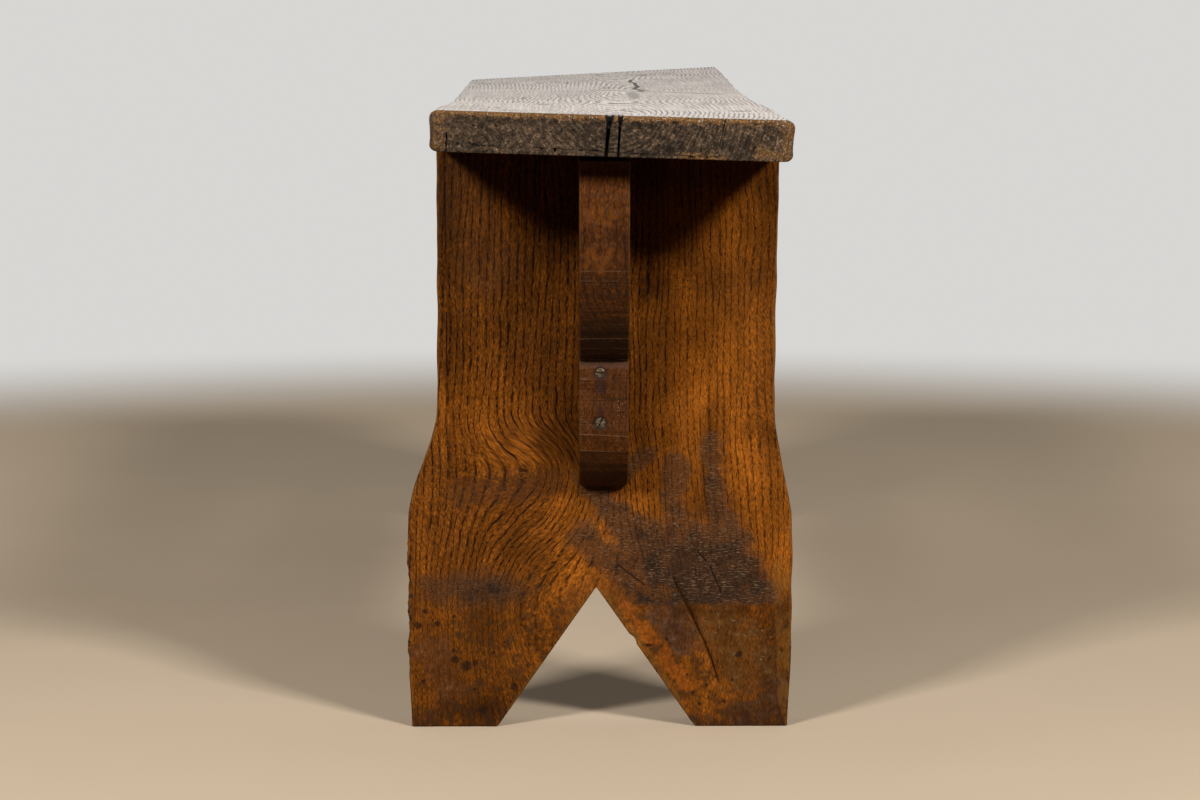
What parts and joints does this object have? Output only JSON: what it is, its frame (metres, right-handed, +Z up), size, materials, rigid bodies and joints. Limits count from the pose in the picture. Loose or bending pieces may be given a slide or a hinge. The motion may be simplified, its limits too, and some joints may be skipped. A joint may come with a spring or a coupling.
{
  "type": "farmhouse bench",
  "caption": "Rustic plank-seat bench on notched board legs, with a scrolled bracket under each end and a stretcher between the legs.",
  "frame": {"origin": "on the floor under the middle of the bench", "axes": "+X along the seat towards the end shown in the picture, +Y to the right as seen from that end, +Z up"},
  "size_m": [1.15, 0.3, 0.4633],
  "materials": {
    "weathered_seat": "weathered grey-brown oak with raised grain, worn orange edges and a dull waxed sheen",
    "leg_oak": "orange-brown waxed oak with open pores, dark stains and rubbed edges",
    "stretcher_oak": "waxed brown oak, little worn",
    "bracket_oak": "dark red-brown waxed oak with saw marks and bright rubbed arrises",
    "screw_steel": "dull aged steel, slotted",
    "nail_iron": "dark oxidised iron"
  },
  "bodies": {
    "root": {"seat_plank": "weathered_seat", "near_leg": "leg_oak", "far_leg": "leg_oak", "stretcher": "stretcher_oak", "near_bracket": "bracket_oak", "far_bracket": "bracket_oak", "near_upper_screw": "screw_steel", "near_lower_screw": "screw_steel", "far_upper_screw": "screw_steel", "far_lower_screw": "screw_steel", "near_left_nail": "nail_iron", "near_middle_nail": "nail_iron", "near_right_nail": "nail_iron", "far_left_nail": "nail_iron", "far_middle_nail": "nail_iron", "far_right_nail": "nail_iron"}
  },
  "joints": []
}
